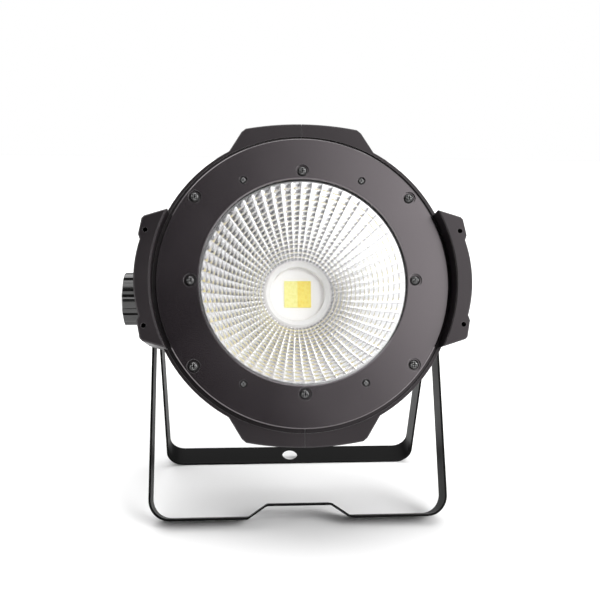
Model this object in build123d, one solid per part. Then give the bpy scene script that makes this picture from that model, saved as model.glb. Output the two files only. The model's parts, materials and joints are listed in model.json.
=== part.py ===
"""LED par can light: a round COB wash lamp in a two-part cast housing, hung on a double yoke.

Millimetres. +Z is up, the lamp faces -Y and is tilted up, and both yokes stand on the floor.
The head is drawn level, with the tilt axis (along X) through its origin, then tilted and raised.
"depth" is measured backwards from the front face of the bezel, along the lamp's own axis.
"""

from build123d import *
from math import acos, atan2, cos, degrees, hypot, radians, sin, sqrt
import os

# --- stance ---
PIVOT_HEIGHT = 191.0        # tilt axis above the floor
HEAD_TILT = 18.5            # beam above level, degrees
PIVOT_DEPTH = 110.0         # tilt axis behind the bezel's front face

# --- clearances and fits ---
SEAM_GAP = 0.3              # between the two housing halves
MOVING_GAP = 0.4            # between faces that slide past each other
RUNNING_GAP = 0.08          # radial, shaft in its hole
FIT_GAP = 0.3               # between loose-fitting fixed pieces

# --- bezel, glass and screws ---
BEZEL_RADIUS = 121.0
BEZEL_THICKNESS = 6.0
OPENING_RADIUS = 86.2
BEZEL_LIP = 2.2             # thickness of the lip in front of the glass
GLASS_MARGIN = 3.6          # glass radius beyond the opening
GASKET_THICKNESS = 0.8
AXIS_SCREW_RADIUS = 93.0    # four screws on the lamp's own up, down, left and right
CORNER_SCREW_X = 89.7
CORNER_SCREW_Z = 70.0
SMALL_SCREW_X = 49.7
SMALL_SCREW_Z = 84.6
BEZEL_CHAMFER = 0.8
M4_RADIUS = 2.0
M3_RADIUS = 1.5
M4_HEAD_RADIUS = 4.1
M3_HEAD_RADIUS = 2.8
M4_HEAD_HEIGHT = 2.6
M3_HEAD_HEIGHT = 2.0
HEAD_RIM = 0.35             # shares of a screw head: its straight rim, its dome's waypoint
HEAD_WAYPOINT = (0.78, 0.2)
RECESS_ARM = 1.15           # cross recess, as shares of the head's radius and height
RECESS_SLOT = 0.28
RECESS_DEPTH = 0.55
COUNTERBORE_RADIUS = 5.5
SMALL_COUNTERBORE_RADIUS = 3.4
COUNTERBORE_DEPTH = 1.8
CORNER_SCREW_LENGTH = 16.0

# --- housing ---
RIM_DEPTH = 6.0             # rim face behind the bezel face
RIM_RADIUS = 127.0
RIM_WALL = 2.5
RIM_LENGTH = 9.0
SHOULDER_RADIUS = 122.0     # body just behind the rim
SHOULDER_LENGTH = 8.0
TAIL_RADIUS = 116.5         # body at the rear edge
HOUSING_DEPTH = 176.0
HOUSING_WALL = 2.5
REAR_ROUND = 4.0
SHELF_THICKNESS = 3.0
COVER_RECESS = 2.0
REAR_SHELF_REACH = 4.0      # rear shelf's inner edge inside the cover's screw circle
POST_RADIUS = 5.5
POST_LENGTH = 18.0
POST_HOLE = 14.0
SHELL_SCREW_Z = 110.0
SHELL_BOSS_RADIUS = 5.0
SHELL_BOSS_REACH = 12.0
SHELL_BOSS_WEB = 8.0
VENT_ANGLES = (-36, -24, -12, 12, 24, 36)
VENT_DEPTHS = (128.0, 156.0)
VENT_WIDTH = 4.0
VENT_INNER = 100.0          # the slots are cut outwards from this distance
VENT_CUT = 30.0

# --- bumpers above and below ---
BUMPER_APEX = 136.0
BUMPER_CORNER_X = 47.5
BUMPER_CORNER_Z = 131.5
BUMPER_SHOULDER_X = 51.0
BUMPER_SHOULDER_Z = 128.6
BUMPER_FOOT_X = 61.8
BUMPER_FLAT = 42.0          # length of full height, front to back
BUMPER_RAMP = 46.0          # length of the slope down to the body
BUMPER_WALL = 3.0
BUMPER_BEVEL = 0.8

# --- ears at the sides ---
EAR_PROUD = 14.7            # ear face in front of the bezel face
EAR_BACK_DEPTH = 38.0
EAR_INNER_RADIUS = 124.2
EAR_OUTER_X = 137.0
EAR_WAIST_X = 132.4
EAR_WAIST_Z = 31.0
EAR_TAB_X = 133.8
EAR_TAB_Z = 35.2
EAR_CORNER_X = 131.2
EAR_CORNER_Z = 48.6
EAR_TIP_Z = 56.4
EAR_HOLE_X = 128.1
EAR_HOLE_Z = 38.6
EAR_HOLE_RADIUS = 2.0
EAR_HOLE_LENGTH = 14.0
EAR_POCKET_WALL = 3.0
EAR_BEVEL = 1.0

# --- reflector and light source ---
REFLECTOR_FRONT_RADIUS = 84.6
REFLECTOR_BASE_RADIUS = 30.2
REFLECTOR_BASE_DEPTH = 78.0
REFLECTOR_BULGE = 0.40      # how far the wall bows out from a straight cone, 0 to 1
REFLECTOR_WALL = 1.6
REFLECTOR_FLANGE = 1.5
CLAMP_RING_WALL = 3.2
CLAMP_RING_OUTER = 103.0
COLLAR_OUTER = 29.9         # band that shows inside the reflector's base
COLLAR_INNER = 24.5
COLLAR_SEAT = 35.0          # wider part behind the reflector's edge
COLLAR_THICKNESS = 4.0
COLLAR_PROUD = 1.0
COLLAR_CHAMFER = 0.8
EMITTER_SIDE = 24.7
EMITTER_THICKNESS = 0.8
BOARD_SIDE = 54.0
BOARD_THICKNESS = 1.6
PAD_THICKNESS = 1.0
CARRIER_THICKNESS = 2.0
CARRIER_RADIUS = 104.0
CARRIER_WINDOW_MARGIN = 6.0
STANDOFF_RADIUS = 3.5
STANDOFF_X = 69.3

# --- heatsink and fan ---
SINK_RADIUS = 58.0
SINK_BASE = 8.0
FIN_HEIGHT = 38.0
FIN_THICKNESS = 2.0
FIN_PITCH = 5.6
FAN_SIDE = 92.0
FAN_DEPTH = 25.0
FAN_BORE = 43.5
FAN_BLADE_RADIUS = 41.5
FAN_HUB_RADIUS = 18.0
FAN_BLADES = 7
FAN_SHAFT_RADIUS = 3.0
FAN_HOLE_PITCH = 82.5
FAN_TO_COVER = 1.5
FAN_STRUT = 3.0
FAN_STRUT_WIDTH = 5.0
FAN_BEARING_WALL = 5.0
FAN_BEARING = 12.0
ROTOR_FRONT_GAP = 4.5       # rotor behind the fan's front face
ROTOR_BACK_GAP = 1.5
CUP_WALL = 1.8
CUP_FLOOR = 2.0
BLADE_THICKNESS = 1.6
BLADE_PITCH = 52            # degrees
BLADE_CHORD = 1.15          # chord as a share of the rotor's length
SUPPLY_WIDTH = 100.0
SUPPLY_HEIGHT = 30.0
SUPPLY_Z = -83.0
SUPPLY_FRONT_GAP = 4.0
SUPPLY_BACK_GAP = 26.0

# --- rear panel ---
COVER_THICKNESS = 3.0
COVER_SCREW_RADIUS = 106.5
COVER_SCREWS = 8
GUARD_WIRE = 1.1
GUARD_ARM = 1.3
GUARD_RINGS = 4
GUARD_RING_PITCH = 8.0
GUARD_PLATE = 2.9           # eyes and middle disc of the guard
GUARD_EYE = 4.4
GUARD_LIFT = 0.7            # rings above the arms, as a share of both wires
DISPLAY_WIDTH = 46.0
DISPLAY_HEIGHT = 18.0
DISPLAY_Z = 82.0
BUTTON_Z = 64.0
BUTTON_PITCH = 14.0
BUTTON_RADIUS = 4.0
BUTTON_TRAVEL = 1.2
BUTTON_PROUD = 2.0
BUTTON_FOOT_MARGIN = 1.2
BUTTON_FOOT = 2.0
BUTTON_STEM_RADIUS = 1.5
BUTTON_STEM = 9.0           # stem's front end ahead of the cover
BUTTON_ROUND = 0.8
SWITCH_SIDE = 6.0
BOARD_WIDTH = 72.0          # control board behind the keys
BOARD_HEIGHT = 40.0
BOARD_Z = 74.0
BOARD_GAP = 14.4            # control board's rear face ahead of the cover
WINDOW_SINK = 0.4
SOCKET_INNER = (36.0, -79.0)    # the two sockets near the middle
SOCKET_OUTER = (76.0, -38.0)    # the two sockets further out
DATA_BORE = 9.6
DATA_BODY = 12.2
DATA_FLANGE = (27.0, 31.0)
DATA_DEPTH = 14.0
DATA_CORE = 8.0
DATA_PIN_CIRCLE = 5.0
DATA_PIN_ANGLES = (90, 210, 330)
DATA_PIN_RADIUS = 1.2
LATCH_WIDTH = 5.0
LATCH_HEIGHT = 1.8
LATCH_TRAVEL = 1.5
LATCH_SLOT = 7.0
LATCH_PROUD = 2.5
LATCH_Z = 10.2              # tab's middle above the socket's middle
SOCKET_FLOOR = 3.0          # behind each socket's hollow
MAINS_WIDTH = 24.6
MAINS_HEIGHT = 17.0
MAINS_WALL = 1.5
MAINS_FLANGE = (31.0, 24.0)
MAINS_DEPTH = 15.5
MAINS_CORNER = 5.0
MAINS_GROOVE = 3.2
BLADE_PLACES = ((-7.0, -2.0), (7.0, -2.0), (0.0, 2.5))
BLADE_SIZE = (2.0, 4.0)
BLADE_SLOT_SIZE = (2.4, 4.4)
BLADE_LENGTH = 8.0
FLANGE_THICKNESS = 2.0
FUSE_Z = -88.0
FUSE_RADIUS = 6.5
FUSE_BODY = 18.0
FUSE_CAP = 5.0
FUSE_SLOT = (9.0, 1.6)
EYE_HOLE_RADIUS = 5.0
EYE_THICKNESS = 3.0
EYE_REACH = 17.0
EYE_Z = 100.0
EYE_BASE_WIDTH = 22.0
EYE_HEIGHT = 16.0
EYE_ROUND = 6.0

# --- yokes ---
STRIP_WIDTH = 24.0
STRIP_THICKNESS = 2.0
FRONT_HALF_WIDTH = 133.5    # tilt axis centre to the outer face of a leg
FRONT_LENGTH = 203.0        # tilt axis to the outer face of the bar
FRONT_BEND = 19.0           # outer bend radius
NOTCH_RAISE = 11.3
NOTCH_TOP = 29.4            # half width of the raised middle
NOTCH_FOOT = 46.3           # half width where the slope begins
NOTCH_BEND = 5.0
REAR_BEND = 17.0
CLAMP_HOLE_RADIUS = 5.25
HANGING_HOLE_RADIUS = 8.0

# --- pivots and knobs ---
STUD_RADIUS = 4.0
BOSS_RADIUS = 18.0
BOSS_LENGTH = 17.0
INSERT_RADIUS = 8.0
HEAD_WASHER = 1.0
SPACER_WASHER = 0.6
KNOB_WASHER = 1.5
WASHER_RADIUS = 12.0
KNOB_RADIUS = 25.0
KNOB_LOBES = 10
KNOB_SCALLOP = 5.0          # radius of the round grooves between the lobes
KNOB_GROOVE = 1.8           # how deep they cut
KNOB_HUB_RADIUS = 14.0
KNOB_HUB = 5.0
KNOB_GRIP = 19.5
KNOB_DOME = 4.0
KNOB_CHAMFER = 1.5

# --- derived places, all from the values above ---
YOKE_NEST = SPACER_WASHER + MOVING_GAP
REAR_HALF_WIDTH = FRONT_HALF_WIDTH - STRIP_THICKNESS - YOKE_NEST
REAR_LENGTH = FRONT_LENGTH - STRIP_THICKNESS - YOKE_NEST
BOSS_FACE = REAR_HALF_WIDTH - STRIP_THICKNESS - MOVING_GAP - HEAD_WASHER
KNOB_WASHER_FACE = FRONT_HALF_WIDTH + MOVING_GAP
KNOB_FACE = KNOB_WASHER_FACE + KNOB_WASHER + FIT_GAP
GLASS_RADIUS = OPENING_RADIUS + GLASS_MARGIN
GLASS_FRONT = BEZEL_LIP + GASKET_THICKNESS
FLANGE_FRONT = BEZEL_THICKNESS
CLAMP_FRONT = FLANGE_FRONT + REFLECTOR_FLANGE
CLAMP_BACK = CLAMP_FRONT + CLAMP_RING_WALL
SHELF_FRONT = RIM_DEPTH + REFLECTOR_FLANGE
SHELF_INNER = CLAMP_RING_OUTER + 2.0
RIM_INNER = RIM_RADIUS - RIM_WALL
BOARD_FRONT = REFLECTOR_BASE_DEPTH + COLLAR_THICKNESS
PAD_FRONT = BOARD_FRONT + BOARD_THICKNESS
SINK_FRONT = PAD_FRONT + PAD_THICKNESS
CARRIER_FRONT = SINK_FRONT - CARRIER_THICKNESS
FIN_BACK = SINK_FRONT + SINK_BASE + FIN_HEIGHT
COVER_BACK = HOUSING_DEPTH - COVER_RECESS
COVER_FRONT = COVER_BACK - COVER_THICKNESS
COVER_RADIUS = TAIL_RADIUS - REAR_ROUND - FIT_GAP
FAN_BACK = COVER_FRONT - FAN_TO_COVER
FAN_FRONT = FAN_BACK - FAN_DEPTH
SHELL_SCREW_DEPTHS = (RIM_DEPTH + BUMPER_FLAT + BUMPER_RAMP + 4, COVER_FRONT - 14)
SOCKET_BACK = COVER_BACK + FLANGE_THICKNESS


def stance_angle(length):
    """Swing from straight down at which a yoke's bar stands on its lower edge on the floor."""
    reach = hypot(length, STRIP_WIDTH / 2)
    return degrees(atan2(STRIP_WIDTH / 2, length) + acos(PIVOT_HEIGHT / reach))


FRONT_SWING = stance_angle(FRONT_LENGTH)
REAR_SWING = stance_angle(REAR_LENGTH)


def disc(radius, front, back, x=0.0, z=0.0):
    """Cylinder along the lamp's axis between two depths."""
    middle = (front + back) / 2 - PIVOT_DEPTH
    return Pos(x, middle, z) * Rot(X=90) * Cylinder(radius, back - front)


def ring(inner, outer, front, back, x=0.0, z=0.0):
    """Annulus along the lamp's axis between two depths."""
    return disc(outer, front, back, x, z) - disc(inner, front - 1, back + 1, x, z)


def slab(width, height, front, back, x=0.0, z=0.0):
    """Rectangular block between two depths."""
    middle = (front + back) / 2 - PIVOT_DEPTH
    return Pos(x, middle, z) * Box(width, back - front, height)


def extruded(sketch, front, back):
    """A sketch seen from the front (x right, z up), made solid between two depths."""
    plane = Plane.XZ.offset(PIVOT_DEPTH - back)
    return extrude(plane * sketch, amount=back - front)


def turned(points):
    """A solid of revolution about the lamp's axis from (radius, depth) points."""
    outline = Polyline([(radius, depth - PIVOT_DEPTH) for radius, depth in points], close=True)
    return revolve(make_face(outline), axis=Axis.Y)


def rod(radius, start, end, depth=PIVOT_DEPTH, z=0.0):
    """Cylinder along X between two x values."""
    place = Pos((start + end) / 2, depth - PIVOT_DEPTH, z)
    return place * Rot(Y=90) * Cylinder(radius, abs(end - start))


def tube(inner, outer, start, end, depth=PIVOT_DEPTH, z=0.0):
    """Hollow cylinder along X between two x values."""
    low = min(start, end)
    high = max(start, end)
    return rod(outer, low, high, depth, z) - rod(inner, low - 1, high + 1, depth, z)


def solids_of(*shapes):
    """Several separate solids kept together in one node."""
    found = []
    for shape in shapes:
        found.extend(shape.solids())
    return Compound(found)


def corners(x, z):
    """The four places mirrored left to right and top to bottom."""
    return [(sx * x, sz * z) for sx in (-1, 1) for sz in (-1, 1)]


def rear_screw(thread, head, head_height, seat, length):
    """A pan-head screw pointing forwards, its head seated at a depth on the rear side."""
    return Rot(Z=180) * pan_screw(thread, head, head_height, 2 * PIVOT_DEPTH - seat, length)


def cover_screws():
    """Screws round the edge of the rear cover."""
    length = COVER_THICKNESS + SHELF_THICKNESS
    screw = rear_screw(M3_RADIUS, M3_HEAD_RADIUS, M3_HEAD_HEIGHT, COVER_BACK, length)
    return screw_set(screw, cover_screw_places())


def fan_screws():
    """Long screws through the guard, the cover and the fan."""
    seat = COVER_BACK + GUARD_PLATE
    screw = rear_screw(M4_RADIUS, M4_HEAD_RADIUS, M4_HEAD_HEIGHT, seat, seat - FAN_FRONT)
    return screw_set(screw, corners(FAN_HOLE_PITCH / 2, FAN_HOLE_PITCH / 2))


def shell_screws():
    """Screws across the seam that pull the two halves together."""
    length = 2 * SHELL_BOSS_REACH - 2
    level = pan_screw(M3_RADIUS, M3_HEAD_RADIUS, M3_HEAD_HEIGHT, PIVOT_DEPTH, length)
    across = Rot(Z=-90) * level
    screws = []
    for depth in SHELL_SCREW_DEPTHS:
        for side in (-1, 1):
            screws.append(Pos(-SHELL_BOSS_REACH, depth - PIVOT_DEPTH, side * SHELL_SCREW_Z) * across)
    return solids_of(*screws)


def axis_places(radius):
    """Right, top, left and bottom of a circle."""
    return [(radius, 0.0), (0.0, radius), (-radius, 0.0), (0.0, -radius)]


# --- housing ---
def body_radius(depth):
    """Outer radius of the tapering body at a depth behind the shoulder."""
    start = RIM_DEPTH + RIM_LENGTH + SHOULDER_LENGTH
    share = (depth - start) / (HOUSING_DEPTH - REAR_ROUND - start)
    return SHOULDER_RADIUS + (TAIL_RADIUS - SHOULDER_RADIUS) * share


def bumper_outline(shrink=0.0):
    """Arched top of a bumper and its sloping sides, seen from the front."""
    top = Vector(0, BUMPER_APEX - shrink)
    corner = (BUMPER_CORNER_X - shrink, BUMPER_CORNER_Z - shrink)
    shoulder = (BUMPER_SHOULDER_X - shrink, BUMPER_SHOULDER_Z - shrink)
    foot_z = sqrt(RIM_RADIUS**2 - BUMPER_FOOT_X**2)
    foot = (BUMPER_FOOT_X - shrink, foot_z - shrink)
    mirrored = [(-foot[0], foot[1]), (-shoulder[0], shoulder[1]), (-corner[0], corner[1])]
    arch = ThreePointArc(mirrored[2], top, corner)
    right = Polyline(corner, shoulder, foot, (foot[0], 0), (-foot[0], 0), *mirrored)
    return make_face(arch + right)


def bumper(shrink=0.0):
    """A full-height front part and a ramp that falls back to the body."""
    outline = bumper_outline(shrink)
    flat_end = RIM_DEPTH + BUMPER_FLAT
    ramp_end = flat_end + BUMPER_RAMP
    block = extruded(outline, RIM_DEPTH + shrink, ramp_end)
    block = chamfer(block.edges().group_by(Axis.Y)[0], BUMPER_BEVEL)
    buried = sqrt(body_radius(ramp_end)**2 - BUMPER_FOOT_X**2) - BUMPER_WALL - 2 * shrink
    cutter = Polyline(
        (flat_end - PIVOT_DEPTH, BUMPER_APEX - 2 * shrink),
        (ramp_end + 1 - PIVOT_DEPTH, buried),
        (ramp_end + 1 - PIVOT_DEPTH, BUMPER_APEX + 1),
        (flat_end - PIVOT_DEPTH, BUMPER_APEX + 1),
        close=True,
    )
    slope = extrude(Plane.YZ * make_face(cutter), amount=RIM_RADIUS, both=True)
    return block - slope


def ear_outline():
    """One ear seen from the front, right side: it hugs the bezel inside and bows outside."""
    inner = sqrt(EAR_INNER_RADIUS**2 - EAR_TIP_Z**2)
    bow = ThreePointArc((EAR_WAIST_X, EAR_WAIST_Z), (EAR_OUTER_X, 0), (EAR_WAIST_X, -EAR_WAIST_Z))
    lower = Polyline(
        (EAR_WAIST_X, -EAR_WAIST_Z),
        (EAR_TAB_X, -EAR_TAB_Z),
        (EAR_CORNER_X, -EAR_CORNER_Z),
        (EAR_CORNER_X - 2, -EAR_CORNER_Z - 2),
        (inner, -EAR_TIP_Z),
    )
    hug = ThreePointArc((inner, -EAR_TIP_Z), (EAR_INNER_RADIUS, 0), (inner, EAR_TIP_Z))
    upper = Polyline(
        (inner, EAR_TIP_Z),
        (EAR_CORNER_X - 2, EAR_CORNER_Z + 2),
        (EAR_CORNER_X, EAR_CORNER_Z),
        (EAR_TAB_X, EAR_TAB_Z),
        (EAR_WAIST_X, EAR_WAIST_Z),
    )
    return make_face(bow + lower + hug + upper)


def ear():
    """Right-hand ear: a curved block proud of the bezel, with a pocket behind and two holes."""
    block = extruded(ear_outline(), -EAR_PROUD, EAR_BACK_DEPTH)
    block = chamfer(block.edges().group_by(Axis.Y)[0], EAR_BEVEL)
    pocket_inner = RIM_RADIUS
    pocket_outer = EAR_OUTER_X - EAR_POCKET_WALL
    pocket = ring(pocket_inner, pocket_outer, EAR_POCKET_WALL - EAR_PROUD, EAR_BACK_DEPTH + 1)
    window = slab(60, 2 * EAR_WAIST_Z - 6, -EAR_PROUD, EAR_BACK_DEPTH + 1, x=EAR_OUTER_X)
    block = block - (pocket & window)
    for side in (-1, 1):
        hole = disc(EAR_HOLE_RADIUS, -EAR_PROUD - 1, EAR_HOLE_LENGTH - EAR_PROUD,
                    EAR_HOLE_X, side * EAR_HOLE_Z)
        block = block - hole
    return block


def shell_solid():
    """Outer form of the whole housing before it is hollowed and cut in two."""
    shoulder_depth = RIM_DEPTH + RIM_LENGTH
    body_start = shoulder_depth + SHOULDER_LENGTH
    form = turned([
        (0, RIM_DEPTH),
        (RIM_RADIUS, RIM_DEPTH),
        (RIM_RADIUS, shoulder_depth),
        (SHOULDER_RADIUS, body_start),
        (TAIL_RADIUS, HOUSING_DEPTH - REAR_ROUND),
        (TAIL_RADIUS - REAR_ROUND, HOUSING_DEPTH),
        (0, HOUSING_DEPTH),
    ])
    form = form + bumper() + Rot(Y=180) * bumper()
    form = form + ear() + Rot(Y=180) * ear()
    return form


def shell_cavity():
    """Everything inside the housing: the bezel seat, the main room and the rear opening."""
    shelf_back = SHELF_FRONT + SHELF_THICKNESS
    body_start = RIM_DEPTH + RIM_LENGTH + SHOULDER_LENGTH
    rear_shelf = COVER_FRONT - SHELF_THICKNESS
    seat = disc(RIM_INNER, RIM_DEPTH - 1, SHELF_FRONT)
    throat = disc(SHELF_INNER, SHELF_FRONT - 1, shelf_back + 1)
    room = turned([
        (0, shelf_back),
        (SHOULDER_RADIUS - HOUSING_WALL, shelf_back),
        (SHOULDER_RADIUS - HOUSING_WALL, body_start),
        (body_radius(rear_shelf) - HOUSING_WALL, rear_shelf),
        (0, rear_shelf),
    ])
    rear_throat = disc(COVER_SCREW_RADIUS - REAR_SHELF_REACH, rear_shelf - 1, COVER_FRONT + 1)
    rear_seat = disc(COVER_RADIUS + FIT_GAP, COVER_FRONT, HOUSING_DEPTH + 1)
    return [seat, throat, room, rear_throat, rear_seat]


def bumper_pocket():
    """Hollow inside a bumper, closed at the front by its wall."""
    hollow = bumper(BUMPER_WALL)
    keep = slab(3 * RIM_RADIUS, 3 * RIM_RADIUS, SHELF_FRONT + SHELF_THICKNESS, HOUSING_DEPTH)
    return hollow & keep


def corner_posts():
    """Posts behind the seat that take the bezel's corner screws."""
    posts = []
    for x, z in corners(CORNER_SCREW_X, CORNER_SCREW_Z):
        posts.append(disc(POST_RADIUS, SHELF_FRONT, SHELF_FRONT + POST_LENGTH, x, z))
    return posts


def joining_bosses():
    """Bosses either side of the seam, with a screw across each pair."""
    bosses = []
    for depth in SHELL_SCREW_DEPTHS:
        for side in (-1, 1):
            boss = rod(SHELL_BOSS_RADIUS, -SHELL_BOSS_REACH, SHELL_BOSS_REACH, depth, side * SHELL_SCREW_Z)
            web = slab(2 * SHELL_BOSS_REACH, SHELL_BOSS_WEB, depth - SHELL_BOSS_RADIUS,
                       depth + SHELL_BOSS_RADIUS, z=side * (SHELL_SCREW_Z + SHELL_BOSS_WEB / 2))
            bosses.append((boss + web) & turned_body())
    return bosses


def turned_body():
    """The tapering body alone, used to trim what grows from its wall."""
    return turned([
        (0, RIM_DEPTH),
        (SHOULDER_RADIUS - 1, RIM_DEPTH),
        (SHOULDER_RADIUS - 1, RIM_DEPTH + RIM_LENGTH + SHOULDER_LENGTH),
        (TAIL_RADIUS - 1, HOUSING_DEPTH - REAR_ROUND),
        (0, HOUSING_DEPTH - REAR_ROUND),
    ])


def vents():
    """Slots in the body's rear, at the top and the bottom, that let the fan's air through."""
    cuts = []
    length = VENT_DEPTHS[1] - VENT_DEPTHS[0]
    middle = sum(VENT_DEPTHS) / 2 - PIVOT_DEPTH
    for base in (0, 180):
        for angle in VENT_ANGLES:
            slot = SlotOverall(length, VENT_WIDTH)
            cut = extrude(Plane.XY.offset(VENT_INNER) * Rot(Z=90) * slot, amount=VENT_CUT)
            cuts.append(Rot(Y=base + angle) * Pos(0, middle, 0) * cut)
    return cuts


def housing():
    """Both halves of the housing, left (-X) and right (+X)."""
    form = shell_solid()
    for space in shell_cavity():
        form = form - space
    form = form - bumper_pocket() - Rot(Y=180) * bumper_pocket()
    form = form + pivot_pads()
    for post in corner_posts():
        form = form + post
    for boss in joining_bosses():
        form = form + boss
    for x, z in corners(CORNER_SCREW_X, CORNER_SCREW_Z):
        form = form - disc(M4_RADIUS, RIM_DEPTH - 1, SHELF_FRONT + POST_HOLE, x, z)
    for depth in SHELL_SCREW_DEPTHS:
        for side in (-1, 1):
            hole = rod(M3_RADIUS, -SHELL_BOSS_REACH - 1, SHELL_BOSS_REACH - 2, depth, side * SHELL_SCREW_Z)
            form = form - hole
    for side in (-1, 1):
        form = form - rod(INSERT_RADIUS, side * (BOSS_FACE - BOSS_LENGTH - 1), side * (BOSS_FACE + 1))
    for x, z in cover_screw_places():
        form = form - disc(M3_RADIUS, COVER_FRONT - SHELF_THICKNESS - 1, COVER_FRONT + 1, x, z)
    for cut in vents():
        form = form - cut
    keep = 4 * EAR_OUTER_X
    left = form & Pos(-keep / 2 - SEAM_GAP / 2, 0, 0) * Box(keep, keep, keep)
    right = form & Pos(keep / 2 + SEAM_GAP / 2, 0, 0) * Box(keep, keep, keep)
    return left, right


def pivot_pads():
    """Thick round pads through the side walls that hold the pivot inserts."""
    inner = BOSS_FACE - BOSS_LENGTH
    return rod(BOSS_RADIUS, inner, BOSS_FACE) + rod(BOSS_RADIUS, -inner, -BOSS_FACE)


# --- screws ---
def cross_recess(radius, depth_in, face):
    """Cross-shaped drive recess, its mouth at a depth and running backwards."""
    arm = radius * RECESS_ARM
    width = radius * RECESS_SLOT
    return slab(arm, width, face - 1, face + depth_in) + slab(width, arm, face - 1, face + depth_in)


def pan_screw(thread, head, head_height, seat, length):
    """A pan-head screw pointing backwards, its head seated at a depth."""
    face = seat - head_height
    rim = (head, seat - head_height * HEAD_RIM)
    waypoint = (head * HEAD_WAYPOINT[0], face + head_height * HEAD_WAYPOINT[1])
    profile = make_face(
        Polyline((0, seat), (head, seat), rim)
        + ThreePointArc(rim, waypoint, (0, face))
        + Line((0, face), (0, seat))
    )
    dome = revolve(Pos(0, -PIVOT_DEPTH) * profile, axis=Axis.Y)
    shaft = disc(thread, seat, seat + length)
    return dome + shaft - cross_recess(head, head_height * RECESS_DEPTH, face)


def screw_set(screw, places):
    """Copies of one screw at (x, z) places, kept as separate solids."""
    return solids_of(*[Pos(x, 0, z) * screw for x, z in places])


def cover_screw_places():
    """Places of the rear cover's screws, clear of the seam."""
    step = 360 / COVER_SCREWS
    angles = [radians(step * (index + 0.5)) for index in range(COVER_SCREWS)]
    return [(COVER_SCREW_RADIUS * cos(a), COVER_SCREW_RADIUS * sin(a)) for a in angles]


# --- front assembly ---
def front_bezel():
    """Face ring with the glass seat behind its lip and counterbored screw holes."""
    body = ring(OPENING_RADIUS, BEZEL_RADIUS, 0, BEZEL_THICKNESS)
    body = chamfer(body.edges().filter_by(GeomType.CIRCLE).group_by(Axis.Y)[0], BEZEL_CHAMFER)
    body = body - disc(GLASS_RADIUS + FIT_GAP, BEZEL_LIP, BEZEL_THICKNESS + 1)
    big = axis_places(AXIS_SCREW_RADIUS) + corners(CORNER_SCREW_X, CORNER_SCREW_Z)
    for x, z in big:
        body = body - disc(M4_RADIUS + FIT_GAP / 2, -1, BEZEL_THICKNESS + 1, x, z)
        body = body - disc(COUNTERBORE_RADIUS, -1, COUNTERBORE_DEPTH, x, z)
    for x, z in corners(SMALL_SCREW_X, SMALL_SCREW_Z):
        body = body - disc(M3_RADIUS + FIT_GAP / 2, -1, BEZEL_THICKNESS + 1, x, z)
        body = body - disc(SMALL_COUNTERBORE_RADIUS, -1, COUNTERBORE_DEPTH, x, z)
    return body


def bezel_gasket():
    """Flat seal between the bezel and the housing's seat."""
    seal = ring(SHELF_INNER, BEZEL_RADIUS - 2, BEZEL_THICKNESS, SHELF_FRONT)
    for x, z in corners(CORNER_SCREW_X, CORNER_SCREW_Z):
        seal = seal - disc(M4_RADIUS + FIT_GAP, 0, SHELF_FRONT + 1, x, z)
    return seal


def reflector_radius(depth):
    """Inner radius of the reflector: a straight cone bowed outwards."""
    share = (depth - FLANGE_FRONT) / (REFLECTOR_BASE_DEPTH - FLANGE_FRONT)
    straight = REFLECTOR_FRONT_RADIUS + (REFLECTOR_BASE_RADIUS - REFLECTOR_FRONT_RADIUS) * share
    bow = REFLECTOR_BULGE * share * (1 - share) * (REFLECTOR_FRONT_RADIUS - REFLECTOR_BASE_RADIUS)
    return straight + bow


def reflector():
    """Spun bowl with a front flange that takes the clamp screws."""
    half_way = (FLANGE_FRONT + REFLECTOR_BASE_DEPTH) / 2
    depths = (FLANGE_FRONT, half_way, REFLECTOR_BASE_DEPTH)
    inner = [(reflector_radius(depth), depth - PIVOT_DEPTH) for depth in depths]
    outer = [(radius + REFLECTOR_WALL, y) for radius, y in inner]
    flange = FLANGE_FRONT + REFLECTOR_FLANGE - PIVOT_DEPTH
    profile = make_face(
        ThreePointArc(inner[0], inner[1], inner[2])
        + Line(inner[2], outer[2])
        + ThreePointArc(outer[2], outer[1], (outer[0][0], flange))
        + Polyline(
            (outer[0][0], flange),
            (CLAMP_RING_OUTER, flange),
            (CLAMP_RING_OUTER, FLANGE_FRONT - PIVOT_DEPTH),
            inner[0],
        )
    )
    bowl = revolve(profile, axis=Axis.Y)
    for x, z in axis_places(AXIS_SCREW_RADIUS):
        bowl = bowl - disc(M4_RADIUS + FIT_GAP / 2, 0, CLAMP_FRONT + 1, x, z)
    for x, z in corners(SMALL_SCREW_X, SMALL_SCREW_Z):
        bowl = bowl - disc(M3_RADIUS + FIT_GAP / 2, 0, CLAMP_FRONT + 1, x, z)
    return bowl


def clamp_ring():
    """Threaded ring behind the reflector flange; the standoffs screw into it too."""
    inner = REFLECTOR_FRONT_RADIUS + REFLECTOR_WALL + FIT_GAP
    body = ring(inner, CLAMP_RING_OUTER, CLAMP_FRONT, CLAMP_BACK)
    for x, z in axis_places(AXIS_SCREW_RADIUS):
        body = body - disc(M4_RADIUS, 0, CLAMP_BACK + 1, x, z)
    for x, z in corners(SMALL_SCREW_X, SMALL_SCREW_Z):
        body = body - disc(M3_RADIUS, 0, CLAMP_BACK + 1, x, z)
    return body


# --- light source and cooling ---
def led_collar():
    """White insulating ring on the board: a band inside the reflector's base and a seat behind it."""
    band = ring(COLLAR_INNER, COLLAR_OUTER, REFLECTOR_BASE_DEPTH - COLLAR_PROUD, BOARD_FRONT)
    band = chamfer(band.edges().filter_by(GeomType.CIRCLE).group_by(Axis.Y)[0], COLLAR_CHAMFER)
    return band + ring(COLLAR_INNER, COLLAR_SEAT, REFLECTOR_BASE_DEPTH, BOARD_FRONT)


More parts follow.
